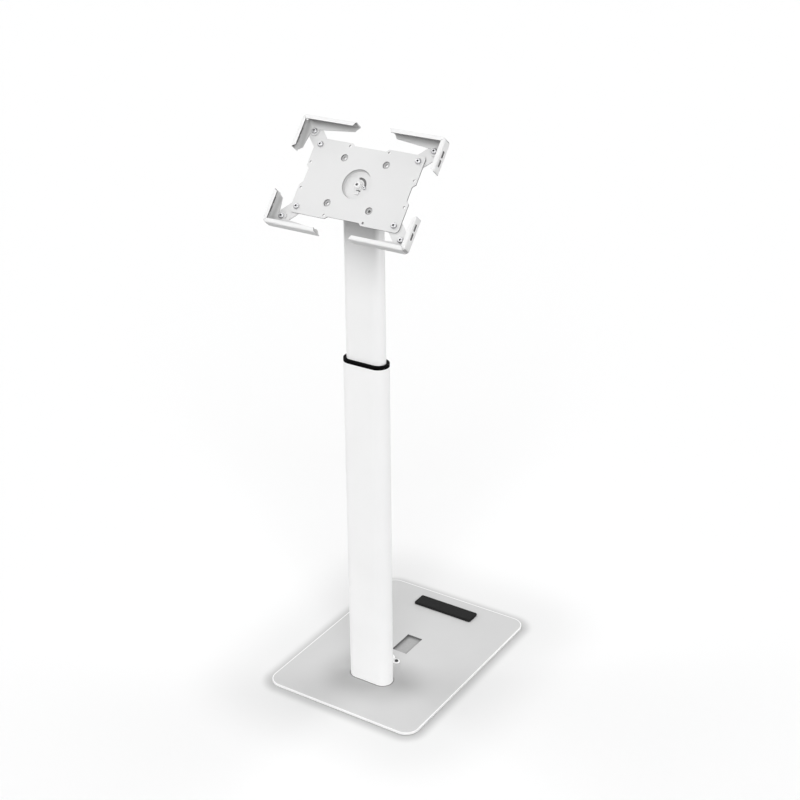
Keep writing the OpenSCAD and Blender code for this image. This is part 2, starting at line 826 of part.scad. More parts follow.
// What is taken off the claw's square outer corner to round it
module corner_cut() {
    translate([corner_u - claw_r, corner_v - claw_r]) difference() {
        square(claw_r + cut);
        circle(claw_r);
    }
}

// Outline of both walls, seen from the front
module wall_outline() {
    u = corner_u;
    v = corner_v;
    difference() {
        union() {
            translate([u - leg_long, v - claw_t]) square([leg_long, claw_t]);
            translate([u - claw_t, v - leg_short]) square([claw_t, leg_short]);
            translate([u - claw_r, v - claw_r]) square(claw_r);
        }
        translate([u - claw_r, v - claw_r]) circle(claw_r - claw_t);
        corner_cut();
    }
}

// Outline of both lips, seen from the front, with slanted ends
module lip_outline() {
    u = corner_u;
    v = corner_v;
    slant = leg_slant / 2;
    difference() {
        polygon([
            [u, v], [u - leg_long, v], [u - leg_long + slant, v - lip_w],
            [u - lip_w, v - lip_w], [u - lip_w, v - leg_short + slant], [u, v - leg_short]
        ]);
        corner_cut();
    }
}

// Slot of the width given that runs inwards from the claw's outer corner along the diagonal
module diagonal_slot(w, reach, low, high) {
    translate([corner_u, corner_v, low]) rotate(45) translate([-reach, -w / 2, 0])
        cube([reach + cut, w, high - low]);
}

// The two windows through the short wall
module claw_windows() {
    middle = (claw_front + lip_back) / 2 + window_up;
    for (k = [0, 1])
        translate([corner_u - claw_t - cut, corner_v - window_from - k * window_pitch, middle])
            rotate([90, 0, 90]) linear_extrude(claw_t + 2 * cut)
                rounded_rect(window_l, window_h, window_h / 4);
}

module claw(side, end) {
    color("white") on_head() corner(side, end) difference() {
        union() {
            translate([0, 0, claw_back]) linear_extrude(claw_t) flange_outline();
            translate([0, 0, claw_back]) linear_extrude(lip_out - claw_back) wall_outline();
            translate([0, 0, lip_back]) linear_extrude(claw_t) lip_outline();
        }
        diagonal_slot(corner_gap, 2 * claw_r, claw_front + corner_web, lip_back - corner_web);
        diagonal_slot(seam, 2 * lip_w, lip_back - cut, lip_out + cut);
        claw_windows();
        translate([claw_u, claw_v, claw_back - cut]) {
            cylinder(h = claw_t + 2 * cut, d = clamp_d + 2 * seat_gap);
            for (s = [-1, 1]) translate([-s * peg_off, s * peg_off, 0])
                cylinder(h = peg_h + cut + seat_gap, d = peg_d + 2 * seat_gap);
        }
    }
}

module claw_screw(side, end) {
    color("silver") on_head() corner(side, end) translate([claw_u, claw_v, claw_front])
        socket_screw(clamp_d, claw_front - claw_nut_top + nut_h(clamp_d) + screw_end);
}

module claw_nut(side, end) {
    color([0.6, 0.6, 0.62]) on_head() corner(side, end) translate([claw_u, claw_v, claw_nut_top])
        hex_nut(clamp_d);
}

base_plate();
base_mat();
rear_pad();
column_block();
column_bolts();
outer_tube();
guide_collar();
cable_saddle();
saddle_screws();
gas_cylinder();
inner_tube();
glide_shoe();
gas_rod();
column_cap();
tilt_fork();
fork_screws();
hinge_bolt();
hinge_nut();
hinge_washers();
tilt_yoke();
pivot_bolt();
pivot_washer();
friction_disc();
pivot_nut();
stop_screw();
mount_plate();
clamp_screws();
clamp_nuts();
arm(1, 1);  // arm_top_right
arm(-1, 1);  // arm_top_left
arm(1, -1);  // arm_bottom_right
arm(-1, -1);  // arm_bottom_left
claw(1, 1);  // claw_top_right
claw(-1, 1);  // claw_top_left
claw(1, -1);  // claw_bottom_right
claw(-1, -1);  // claw_bottom_left
claw_screw(1, 1);  // claw_screw_top_right
claw_screw(-1, 1);  // claw_screw_top_left
claw_screw(1, -1);  // claw_screw_bottom_right
claw_screw(-1, -1);  // claw_screw_bottom_left
claw_nut(1, 1);  // claw_nut_top_right
claw_nut(-1, 1);  // claw_nut_top_left
claw_nut(1, -1);  // claw_nut_bottom_right
claw_nut(-1, -1);  // claw_nut_bottom_left
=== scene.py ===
import json
import math

import bmesh
import bpy
from mathutils import Matrix, Vector

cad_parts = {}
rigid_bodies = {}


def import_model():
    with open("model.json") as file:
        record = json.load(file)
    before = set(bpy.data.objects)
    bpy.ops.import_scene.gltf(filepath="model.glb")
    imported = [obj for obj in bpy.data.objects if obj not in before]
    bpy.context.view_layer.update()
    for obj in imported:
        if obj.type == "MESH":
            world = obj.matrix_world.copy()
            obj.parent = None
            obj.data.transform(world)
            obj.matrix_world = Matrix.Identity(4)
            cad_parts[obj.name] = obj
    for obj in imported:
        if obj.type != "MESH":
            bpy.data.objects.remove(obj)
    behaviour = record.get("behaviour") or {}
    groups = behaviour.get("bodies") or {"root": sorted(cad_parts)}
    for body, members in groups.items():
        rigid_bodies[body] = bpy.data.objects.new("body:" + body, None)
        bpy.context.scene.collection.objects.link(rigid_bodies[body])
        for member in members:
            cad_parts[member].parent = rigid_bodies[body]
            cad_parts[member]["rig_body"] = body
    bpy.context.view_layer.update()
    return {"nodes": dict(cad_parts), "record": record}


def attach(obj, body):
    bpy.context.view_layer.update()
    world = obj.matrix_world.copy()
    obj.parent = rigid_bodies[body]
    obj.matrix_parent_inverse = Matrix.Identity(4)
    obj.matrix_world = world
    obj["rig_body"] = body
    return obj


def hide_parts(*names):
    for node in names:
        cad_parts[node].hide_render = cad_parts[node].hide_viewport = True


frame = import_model()

# The photograph's camera, in pixels, degrees and metres
IMAGE_PX = 800
FOCAL_PX = 1547.95
SENSOR_MM = 36
CAMERA_AZIMUTH = 32.82
CAMERA_ELEVATION = 25.31
CAMERA_ROLL = -0.44
CAMERA_AT = Vector((1.25612, -1.94155, 1.59419))

# Light, where 1 lights a surface that faces it at the level of its own colour: the room, brighter
# near the horizon than overhead, with the sines of the elevations where each level begins, and
# three soft boxes as (azimuth, elevation, level, spread)
HORIZON_LEVEL, HORIZON_AT = 1.7, 0.05
SKY_LEVEL, SKY_AT = 0.12, 0.65
SOFT_BOXES = {
    "front": (33, 34, 0.46, 38),
    "left": (-77, 50, 0.34, 34),
    "back_right": (148, 52, 0.30, 38),
}

# Floor: its own colour, the colour and glow that the camera sees, and its half width in metres
FLOOR_COLOUR = 0.30
FLOOR_SEEN_COLOUR = 0.85
FLOOR_SEEN_GLOW = 0.07
FLOOR_HALF = 20

# The head at rest: middle of the plate's front, and the way it faces, as the CAD has them
HEAD_AT = Vector((0, -0.1088, 0.8998))
HEAD_TILT = 40.2

# Rounded outlines from above, as (middle, half size without the corners, corner radius)
BASE_OUTLINE = ((0, 0, 0), (0.123, 0.174, 0), 0.025)
HOLE_OUTLINE = ((0, 0.024, 0), (0.006, 0.018, 0), 0.009)
FOOT_OUTLINE = ((0, -0.091, 0), (0.0225, 0, 0), 0.01815)
# Painted soft shades next to an outline, as (reach, level at the outline); a negative reach
# runs inwards
FLOOR_SHADES = ((0.19, 0.89), (0.025, 0.67))
FOOT_SHADES = ((0.08, 0.75), (0.0035, 0.40))
HOLE_SHADES = ((-0.008, 0.66),)

# The base, by the distance inside its outline: where the painted highlight along its edge ends
# and where its middle begins. The cosines to upright between which its top begins, and the greys
# of its edge's painted highlight and of the painted shade on its hole's walls
BASE_HIGHLIGHT_END = (0.0014, 0.00196)
BASE_MIDDLE = (0.02, 0.0202)
BASE_TOP = (0.3, 0.95)
BASE_EDGE_HIGHLIGHT_GREY = 0.95
HOLE_WALL_SHADE_GREY = 0.16

# The inner tube's front under the plate: the heights between which its painted shade grows,
# how it grows, its share at the top, and the cosines to straight ahead between which the
# front begins
PLATE_SHADE = (0.70, 0.82)
PLATE_SHADE_POWER = 2.5
PLATE_SHADE_SHARE = 0.40
TUBE_FRONT = (0.6, 0.95)

# The outer tube's foot: how high its faint painted shade reaches, its share at the floor, the
# heights between which the painted highlight on its end fades out, and that highlight's grey
FOOT_SHADE_TOP = 0.13
FOOT_SHADE_SHARE = 0.06
END_HIGHLIGHT_HEIGHTS = (0.0065, 0.0075)
END_HIGHLIGHT_GREY = 0.97

# The plate's front, by cosines to the way it faces, and the grey of the painted shade on its
# other sides. Its recess: how far it reaches from the middle, and the heights and shares between
# which the painted shade on its wall gets lighter
PLATE_FRONT = (0.35, 0.9)
PLATE_SIDE_SHADE_GREY = 0.25
RECESS_REACH = 0.034
RECESS_WALL = (-0.0008, -0.003)
RECESS_SHADE_LIFT = (0.15, 0.75)
# Its screw dimples: half their spacing, their reach, and the heights over which their painted
# shade grows
DIMPLE_AT = 0.0375
DIMPLE_REACH = 0.0055
DIMPLE_DEPTH = (-0.0001, -0.001)
DIMPLE_SHARE = 0.45
DIMPLE_SHADE_GREY = 0.12
DIMPLE_WALL_SHADE_GREY = 0.05

# The claws' channels: the walls' thickness, the flanges by their heights over the plate's front
# and by cosines to the way it faces, and the painted shade on all of a flange and next to its walls
WALL = 0.002
FLANGE_TOP = (0.012, 0.008)
FLANGE_FRONT = (0.8, 0.95)
FLANGE_SHARE = 0.3
FLANGE_SHADE_GREY = 0.42
NEAR_WALL_REACH = 0.012
NEAR_WALL_SHARE = 0.6
NEAR_WALL_SHADE_GREY = 0.16
# Walls that face inwards, by cosines to the way out, and the heights and shares of their
# painted shade
INWARDS = (-0.35, -0.1)
UNDER_LIP = (0.006, 0.0128)
UNDER_LIP_SHARES = (0.3, 0.95)
CHANNEL_WALL_SHADE_GREY = 0.14


def towards(azimuth, elevation):
    """Unit vector from the object to something at this azimuth and elevation, in degrees."""
    a, e = math.radians(azimuth), math.radians(elevation)
    return Vector((math.sin(a) * math.cos(e), -math.cos(a) * math.cos(e), math.sin(e)))


def extent(points, way):
    """The lowest and the highest of some points along a way."""
    heights = [point.dot(way) for point in points]
    return min(heights), max(heights)


ORIGIN = Vector((0, 0, 0))
UP = Vector((0, 0, 1))
ACROSS = Vector((1, 0, 0))
AHEAD = Vector((0, -1, 0))
HEAD_NORMAL = towards(0, HEAD_TILT)
HEAD_UP = HEAD_NORMAL.cross(ACROSS)


# Shader helpers


def shader_tree(name):
    material = bpy.data.materials.new(name)
    material.use_nodes = True
    material.node_tree.nodes.clear()
    return material, material.node_tree


def add(tree, kind, inputs=None, **settings):
    """Adds a node. An input is a value, or a socket to link from."""
    node = tree.nodes.new(kind)
    for name, value in settings.items():
        setattr(node, name, value)
    for name, value in (inputs or {}).items():
        if isinstance(value, bpy.types.NodeSocket):
            tree.links.new(value, node.inputs[name])
        else:
            node.inputs[name].default_value = value
    return node


def maths(tree, operation, *values):
    """A number worked out from numbers."""
    return add(tree, "ShaderNodeMath", dict(enumerate(values)), operation=operation).outputs[0]


def vectors(tree, operation, *values):
    """A vector worked out from vectors, or a number where the operation gives one."""
    node = add(tree, "ShaderNodeVectorMath", dict(enumerate(values)), operation=operation)
    gives_number = operation in ("DOT_PRODUCT", "LENGTH", "DISTANCE")
    return node.outputs["Value" if gives_number else "Vector"]


def times(tree, a, b):
    return maths(tree, "MULTIPLY", a, b)


def one_minus(tree, value):
    return maths(tree, "SUBTRACT", 1.0, value)


def place_at_rest(tree):
    return add(tree, "ShaderNodeTexCoord").outputs["Object"]


def normal_at_rest(tree):
    return add(tree, "ShaderNodeTexCoord").outputs["Normal"]


def noise(tree, scale, detail, roughness=0.5):
    node = add(tree, "ShaderNodeTexNoise", {
        "Vector": place_at_rest(tree),
        "Scale": scale,
        "Detail": detail,
        "Roughness": roughness,
    })
    return node.outputs["Fac"]


def spread(tree, value, low, high, low_at=0.3, high_at=0.7):
    """Maps a range, by default a noise's middle, onto low to high, and holds it outside that."""
    node = add(tree, "ShaderNodeMapRange", {
        "Value": value,
        "From Min": low_at,
        "From Max": high_at,
        "To Min": low,
        "To Max": high,
    })
    return node.outputs["Result"]


def grey(value):
    return (value, value, value)


def shade(colour, factor):
    return tuple(min(1.0, c * factor) for c in colour)


def blend_colours(tree, factor, dark, light):
    node = add(tree, "ShaderNodeMix", data_type="RGBA")
    tree.links.new(factor, node.inputs["Factor"])
    node.inputs["A"].default_value = (*dark, 1)
    node.inputs["B"].default_value = (*light, 1)
    return node.outputs["Result"]


def lay_over(tree, factor, coat, value):
    """Lays a grey over a coat by a factor."""
    node = add(tree, "ShaderNodeMix", data_type="RGBA")
    tree.links.new(factor, node.inputs["Factor"])
    tree.links.new(coat, node.inputs["A"])
    node.inputs["B"].default_value = (*grey(value), 1)
    return node.outputs["Result"]


def bumps(tree, height, strength, distance, under=None):
    inputs = {"Height": height, "Strength": strength, "Distance": distance}
    if under is not None:
        inputs["Normal"] = under
    return add(tree, "ShaderNodeBump", inputs).outputs["Normal"]


def finish_material(tree, material, inputs):
    shader = add(tree, "ShaderNodeBsdfPrincipled", inputs)
    add(tree, "ShaderNodeOutputMaterial", {"Surface": shader.outputs["BSDF"]})
    return material


# Finishes


def powder_coat(name, colour, overlay=None):
    """Fine satin powder coat: faint mottling, orange peel and a grain just under a millimetre.
    An overlay takes the tree and the coat's colour, and returns the colour with more on it."""
    material, tree = shader_tree(name)
    mottle = spread(tree, noise(tree, scale=11, detail=3), 0, 1)
    peel = noise(tree, scale=420, detail=2)
    grain = noise(tree, scale=1700, detail=1)
    coat = blend_colours(tree, mottle, shade(colour, 0.985), shade(colour, 1.01))
    if overlay:
        coat = overlay(tree, coat)
    peel_bumps = bumps(tree, peel, strength=0.12, distance=0.0001)
    return finish_material(tree, material, {
        "Base Color": coat,
        "Roughness": spread(tree, peel, 0.40, 0.52),
        "Specular IOR Level": 0.35,
        "Normal": bumps(tree, grain, strength=0.10, distance=0.00004, under=peel_bumps),
    })


def moulded_plastic(name, colour, shine=0.5):
    """Moulded plastic or smooth paint with a fine grain and faint flow marks."""
    material, tree = shader_tree(name)
    grain = noise(tree, scale=2600, detail=2)
    flow = spread(tree, noise(tree, scale=60, detail=2), 0, 1)
    return finish_material(tree, material, {
        "Base Color": blend_colours(tree, flow, shade(colour, 0.85), shade(colour, 1.2)),
        "Roughness": spread(tree, grain, 0.42, 0.58),
        "Specular IOR Level": shine,
        "Normal": bumps(tree, grain, strength=0.2, distance=0.00004),
    })


def rubber(name, colour, dusty=1.35, overlay=None):
    """Matt rubber with a fine leathery grain and a little dust."""
    material, tree = shader_tree(name)
    grain = noise(tree, scale=1300, detail=3, roughness=0.6)
    dust = spread(tree, noise(tree, scale=240, detail=4, roughness=0.7), 0, 1, 0.45, 0.75)
    coat = blend_colours(tree, dust, shade(colour, 0.9), shade(colour, dusty))
    if overlay:
        coat = overlay(tree, coat)
    return finish_material(tree, material, {
        "Base Color": coat,
        "Roughness": spread(tree, grain, 0.72, 0.9),
        "Specular IOR Level": 0.12,
        "Normal": bumps(tree, grain, strength=0.35, distance=0.0001),
    })


def metal(name, colour, rough, grain_scale):
    """Plated, machined or ground metal with a fine grain and slightly uneven tone."""
    material, tree = shader_tree(name)
    grain = noise(tree, scale=grain_scale, detail=3)
    tone = spread(tree, noise(tree, scale=90, detail=2), 0, 1)
    return finish_material(tree, material, {
        "Base Color": blend_colours(tree, tone, shade(colour, 0.92), shade(colour, 1.04)),
        "Metallic": 1.0,
        "Roughness": spread(tree, grain, *rough),
        "Normal": bumps(tree, grain, strength=0.08, distance=0.00003),
    })


# Overlays, placed by the object at rest


def facing(tree, way, low, high):
    """1 where the surface faces this way, down to 0, between two cosines."""
    cosine = vectors(tree, "DOT_PRODUCT", normal_at_rest(tree), way)
    return spread(tree, cosine, 0, 1, low, high)


def height_over(tree, point, way, heights, values=(0, 1)):
    """Runs from one value to the other between two heights over a point, along a way."""
    along = vectors(tree, "DOT_PRODUCT", place_at_rest(tree), way)
    base = point.dot(way)
    return spread(tree, along, *values, base + heights[0], base + heights[1])


def over_plate(tree, heights, values=(0, 1)):
    """Runs from one value to the other between two heights over the plate's front."""
    return height_over(tree, HEAD_AT, HEAD_NORMAL, heights, values)


def past_outline(tree, outline):
    """How far a point is outside a rounded outline, below zero inside it."""
    middle, core, corner = outline
    off = vectors(tree, "SUBTRACT", place_at_rest(tree), middle)
    flat = vectors(tree, "MULTIPLY", off, (1, 1, 0))
    past_core = vectors(tree, "SUBTRACT", vectors(tree, "ABSOLUTE", flat), core)
    outside = vectors(tree, "MAXIMUM", past_core, (0, 0, 0))
    return maths(tree, "SUBTRACT", vectors(tree, "LENGTH", outside), corner)


def level_by(tree, outline, shades):
    """The level that a few painted soft shades leave next to an outline."""
    past = past_outline(tree, outline)
    level = 1.0
    for reach, lowest in shades:
        near = add(tree, "ShaderNodeMapRange", {
            "Value": past,
            "From Min": 0.0,
            "From Max": reach,
            "To Min": lowest,
            "To Max": 1.0,
        }, interpolation_type="SMOOTHERSTEP")
        level = times(tree, level, near.outputs["Result"])
    return level


def darken_by(tree, outline, shades, coat):
    return lay_over(tree, one_minus(tree, level_by(tree, outline, shades)), coat, 0)


def base_overlay(tree, coat):
    """Painted shade round the column's foot, a painted highlight along the outer edge, and painted
    shade on the cable hole's walls.
    """
    # Painted shade round the column's foot
    coat = darken_by(tree, FOOT_OUTLINE, FOOT_SHADES, coat)
    past = past_outline(tree, BASE_OUTLINE)
    # Painted highlight along the base's outer edge
    edge = spread(tree, past, 1, 0, -BASE_HIGHLIGHT_END[0], -BASE_HIGHLIGHT_END[1])
    coat = lay_over(tree, edge, coat, BASE_EDGE_HIGHLIGHT_GREY)
    # Painted shade on the cable hole's walls
    upright = one_minus(tree, facing(tree, UP, *BASE_TOP))
    in_middle = spread(tree, past, 0, 1, -BASE_MIDDLE[0], -BASE_MIDDLE[1])
    return lay_over(tree, times(tree, upright, in_middle), coat, HOLE_WALL_SHADE_GREY)


def mat_overlay(tree, coat):
    """Painted shade on the mat that shows in the base's cable hole, darker along the hole's walls.
    """
    return darken_by(tree, HOLE_OUTLINE, HOLE_SHADES, coat)


def inner_tube_overlay(tree, coat):
    """Painted shade of the plate on the inner tube's front, near its top."""
    near = maths(tree, "POWER", height_over(tree, ORIGIN, UP, PLATE_SHADE), PLATE_SHADE_POWER)
    front = times(tree, near, facing(tree, AHEAD, *TUBE_FRONT))
    return lay_over(tree, times(tree, PLATE_SHADE_SHARE, front), coat, 0)


def outer_tube_overlay(tree, coat):
    """Paints shade at the outer tube's foot against the base's glow, and a highlight on its end."""
    # Painted shade low on the tube
    low = height_over(tree, ORIGIN, UP, (FOOT_SHADE_TOP, 0))
    coat = lay_over(tree, times(tree, FOOT_SHADE_SHARE, low), coat, 0)
    # Painted highlight on the tube's lower end
    end = height_over(tree, ORIGIN, UP, END_HIGHLIGHT_HEIGHTS, (1, 0))
    return lay_over(tree, end, coat, END_HIGHLIGHT_GREY)


def off_middle(tree, way):
    """How far a point is from the plate's middle along a way, to either side."""
    along = vectors(tree, "DOT_PRODUCT", place_at_rest(tree), way)
    return maths(tree, "ABSOLUTE", maths(tree, "SUBTRACT", along, HEAD_AT.dot(way)))


def near_dimples(tree):
    """1 near the plate's four screw dimples."""
    squares = []
    for way in (ACROSS, HEAD_UP):
        off = maths(tree, "SUBTRACT", off_middle(tree, way), DIMPLE_AT)
        squares.append(maths(tree, "POWER", off, 2.0))
    return maths(tree, "LESS_THAN", maths(tree, "ADD", *squares), DIMPLE_REACH ** 2)


def plate_overlay(tree, coat):
    """Painted shade on the cut edges, on the recess's wall, lighter lower down, and in the dimples.
    """
    side = one_minus(tree, facing(tree, HEAD_NORMAL, *PLATE_FRONT))
    off = vectors(tree, "DISTANCE", place_at_rest(tree), HEAD_AT)
    in_recess = maths(tree, "LESS_THAN", off, RECESS_REACH)
    light = times(tree, in_recess, over_plate(tree, RECESS_WALL, RECESS_SHADE_LIFT))
    # Painted shade on the plate's sides and recess wall
    coat = lay_over(tree, times(tree, side, one_minus(tree, light)), coat, PLATE_SIDE_SHADE_GREY)
    dimple = near_dimples(tree)
    sunk = times(tree, DIMPLE_SHARE, over_plate(tree, DIMPLE_DEPTH))
    # Painted shade in the dimples
    coat = lay_over(tree, times(tree, dimple, sunk), coat, DIMPLE_SHADE_GREY)
    # Darker painted shade on the dimples' walls
    return lay_over(tree, times(tree, dimple, side), coat, DIMPLE_WALL_SHADE_GREY)


def wall_gap(tree):
    """How far a point is from the nearest claw's wall, in the head's plane."""
    corner = [vertex.co - HEAD_AT for vertex in frame["nodes"]["claw_top_right"].data.vertices]
    gaps = []
    for way in (ACROSS, HEAD_UP):
        wall = extent(corner, way)[1] - WALL
        gaps.append(maths(tree, "SUBTRACT", wall, off_middle(tree, way)))
    return maths(tree, "MINIMUM", *gaps)


def claw_overlay(tree, coat):
    """Painted shade in the channels: on the flanges, more near the walls, and on walls' insides."""
    # Painted shade where the lips and walls keep light out
    front = facing(tree, HEAD_NORMAL, *FLANGE_FRONT)
    flange = times(tree, over_plate(tree, FLANGE_TOP), front)
    coat = lay_over(tree, times(tree, FLANGE_SHARE, flange), coat, FLANGE_SHADE_GREY)
    near = spread(tree, wall_gap(tree), NEAR_WALL_SHARE, 0, 0, NEAR_WALL_REACH)
    coat = lay_over(tree, times(tree, flange, near), coat, NEAR_WALL_SHADE_GREY)
    out = vectors(tree, "NORMALIZE", vectors(tree, "SUBTRACT", place_at_rest(tree), HEAD_AT))
    outward = vectors(tree, "DOT_PRODUCT", normal_at_rest(tree), out)
    inward = spread(tree, outward, 1, 0, *INWARDS)
    lip = over_plate(tree, UNDER_LIP, UNDER_LIP_SHARES)
    return lay_over(tree, times(tree, inward, lip), coat, CHANNEL_WALL_SHADE_GREY)


# Materials by the record's slots
MATERIALS = {
    "white_paint": powder_coat("white_powder_coat", grey(0.91)),
    "base_paint": powder_coat("base_powder_coat", grey(0.59), base_overlay),
    "black_plastic": moulded_plastic("black_plastic", grey(0.002), shine=0.02),
    "black_rubber": rubber("black_rubber", grey(0.016)),
    "grey_foam": rubber("grey_foam", grey(0.47), dusty=1.0, overlay=mat_overlay),
    "bare_aluminium": metal("machined_aluminium", grey(0.78), (0.28, 0.42), 900),
    "screw_steel": metal("zinc_plated_steel", (0.47, 0.47, 0.48), (0.34, 0.48), 1500),
    "dark_steel": moulded_plastic("dark_painted_steel", grey(0.045)),
    "bright_rod": metal("ground_chrome", grey(0.8), (0.08, 0.14), 2400),
}

# Finishes of single nodes: the head's sheet metal and its pivot's bolt and washer get greyer
# copies of the column's white, as painted shade; the saddle's screws are black, and the friction
# disc is grey
NODE_COATS = {
    "outer_tube": powder_coat("outer_tube_coat", grey(0.925), outer_tube_overlay),
    "inner_tube": powder_coat("inner_tube_coat", grey(0.91), inner_tube_overlay),
    "saddle_screws": moulded_plastic("black_screw", grey(0.03)),
    "mount_plate": powder_coat("plate_powder_coat", grey(0.67), plate_overlay),
    "claw": powder_coat("claw_powder_coat", grey(0.77), claw_overlay),
    "arm": powder_coat("arm_powder_coat", grey(0.70)),
    "pivot_bolt": powder_coat("bolt_powder_coat", grey(0.78)),
    "pivot_washer": powder_coat("washer_powder_coat", grey(0.70)),
    "friction_disc": moulded_plastic("grey_plastic", grey(0.16)),
}

# Finishes of parts of a piece, as painted shade: the cut edges of the claws' windows, and the
# fasteners' sockets and bores
WINDOW_SHADE_COAT = powder_coat("window_edge_shade", grey(0.10))
SOCKET_SHADE_STEEL = metal("socket_shade_steel", grey(0.10), (0.5, 0.65), 1500)
SOCKET_SHADES = {"pivot_bolt": powder_coat("bolt_socket_shade", grey(0.20))}


# Rounded edges: how wide each kind of edge is, in metres
EDGE_WIDTHS = {
    "base_plate": 0.0010,
    "rear_pad": 0.0008,
    "guide_collar": 0.0006,
    "mount_plate": 0.0005,
    "outer_tube": 0.0003,
    "inner_tube": 0.0003,
}
EDGE_WIDTH = 0.0004
EDGE_SEGMENTS = 3
SHARP_ANGLE = math.radians(32)
MERGE_DISTANCE = 1e-6


def weight_normals(obj):
    normals = obj.modifiers.new("normals", "WEIGHTED_NORMAL")
    normals.keep_sharp = True


def round_edges(obj, width):
    weld = obj.modifiers.new("weld", "WELD")
    weld.merge_threshold = MERGE_DISTANCE
    bevel = obj.modifiers.new("edges", "BEVEL")
    bevel.width = width
    bevel.segments = EDGE_SEGMENTS
    bevel.limit_method = "ANGLE"
    bevel.angle_limit = SHARP_ANGLE
    bevel.use_clamp_overlap = True
    bevel.miter_outer = "MITER_ARC"
    weight_normals(obj)


def dress_nodes():
    """Gives every CAD node its finish and its rounded edges. A kind is a name without its corner."""
    slots = {part["node"]: part["material_slot"] for part in frame["record"]["subparts"]}
    for name, obj in frame["nodes"].items():
        kind = name.split("_top")[0].split("_bottom")[0]
        material = NODE_COATS.get(kind, MATERIALS[slots[name]])
        if not obj.material_slots:
            obj.data.materials.append(material)
        for slot in obj.material_slots:
            slot.link = "OBJECT"
            slot.material = material
        round_edges(obj, EDGE_WIDTHS.get(kind, EDGE_WIDTH))


def link(obj):
    bpy.context.scene.collection.objects.link(obj)


def stand_in(piece, node):
    """Puts a piece in a CAD node's place, on its body."""
    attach(piece, frame["nodes"][node]["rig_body"])
    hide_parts(node)


# Claws: the CAD's folded sheet with round bends where its wall turns into the lip and the flange

BEND_RADIUS = 0.0024
BEND_STEPS = 7
CORNER_RADIUS = 0.007
CORNER_STEPS = 14
# How far the cutters reach past the sheet
PAST = 0.004
# The short wall's windows: where they begin and end from the corner, how far within the sheet the
# middle of a cut edge is at least, and how much it faces across at most
WINDOWS = (0.019, 0.046)
WINDOW_INSET = 1e-4
WINDOW_ACROSS = 0.3


def corner_path(u, v, reach_u, reach_v):
    """Points and outward ways along a claw's outer edge, round its corner, in the head's plane."""
    points = [((u - reach_u, v), (0, 1))]
    for k in range(CORNER_STEPS + 1):
        a = math.pi / 2 * (1 - k / CORNER_STEPS)
        way = (math.cos(a), math.sin(a))
        point = (u + CORNER_RADIUS * (way[0] - 1), v + CORNER_RADIUS * (way[1] - 1))
        points.append((point, way))
    points.append(((u, v - reach_v), (1, 0)))
    return points


def bend_profile(level, sign):
    """What is cut off a square outer edge to round it, as (outward, height) points."""
    r = BEND_RADIUS
    arc = [math.pi / 2 * k / BEND_STEPS for k in range(BEND_STEPS + 1)]
    round_part = [(r * (math.cos(a) - 1), level + sign * r * (math.sin(a) - 1)) for a in arc]
    past = level + sign * PAST
    return round_part + [(-r, past), (PAST, past), (PAST, level - sign * r)]


def bend_cutter(name, path, profiles, to_world):
    cutter = bmesh.new()
    for profile in profiles:
        rings = []
        for (u, v), way in path:
            points = [to_world(u + w * way[0], v + w * way[1], n) for w, n in profile]
            rings.append([cutter.verts.new(point) for point in points])
        for ring, after in zip(rings, rings[1:]):
            for k in range(len(profile)):
                m = (k + 1) % len(profile)
                cutter.faces.new((ring[k], ring[m], after[m], after[k]))
        cutter.faces.new(rings[0])
        cutter.faces.new(list(reversed(rings[-1])))
    bmesh.ops.recalc_face_normals(cutter, faces=cutter.faces)
    mesh = bpy.data.meshes.new(name)
    cutter.to_mesh(mesh)
    cutter.free()
    return bpy.data.objects.new(name, mesh)


def cut_away(piece, cutter):
    """Gives a piece the mesh that is left once a cutter is taken off it."""
    link(cutter)
    cut = piece.modifiers.new("bends", "BOOLEAN")
    cut.operation = "DIFFERENCE"
    cut.solver = "EXACT"
    cut.object = cutter
    bpy.context.view_layer.update()
    result = piece.evaluated_get(bpy.context.evaluated_depsgraph_get())
    left = bpy.data.meshes.new_from_object(result)
    piece.modifiers.clear()
    piece.data = left
    bpy.data.objects.remove(cutter)


def make_claw(side, end):
    node = f"claw_{end}_{side}"
    across = ACROSS if side == "right" else -ACROSS
    up = HEAD_UP if end == "top" else -HEAD_UP
    sheet = bmesh.new()
    sheet.from_mesh(frame["nodes"][node].data)
    bmesh.ops.remove_doubles(sheet, verts=sheet.verts, dist=MERGE_DISTANCE)
    spots = [vertex.co - HEAD_AT for vertex in sheet.verts]
    u_low, u_high = extent(spots, across)
    v_low, v_high = extent(spots, up)
    n_low, n_high = extent(spots, HEAD_NORMAL)
    mesh = bpy.data.meshes.new(node + "_folded")
    sheet.to_mesh(mesh)
    sheet.free()
    piece = bpy.data.objects.new(node + "_folded", mesh)
    link(piece)

    def to_world(u, v, n):
        return HEAD_AT + u * across + v * up + n * HEAD_NORMAL

    path = corner_path(u_high, v_high, u_high - u_low + PAST, v_high - v_low + PAST)
    profiles = [bend_profile(n_high, 1), bend_profile(n_low, -1)]
    cut_away(piece, bend_cutter(node + "_cutter", path, profiles, to_world))

    folded = piece.data
    folded.materials.clear()
    folded.materials.append(NODE_COATS["claw"])
    folded.materials.append(WINDOW_SHADE_COAT)
    # The windows' cut edges get the dark painted shade
    for face in folded.polygons:
        spot = face.center - HEAD_AT
        in_wall = WINDOW_INSET < u_high - spot.dot(across) < WALL - WINDOW_INSET
        in_window = WINDOWS[0] < v_high - spot.dot(up) < WINDOWS[1]
        if in_wall and in_window and abs(face.normal.x) < WINDOW_ACROSS:
            face.material_index = 1
    folded.shade_smooth()
    folded.set_sharp_from_angle(angle=SHARP_ANGLE)
    weight_normals(piece)
    stand_in(piece, node)


def make_claws():
    for side in ("right", "left"):
        for end in ("top", "bottom"):
            make_claw(side, end)


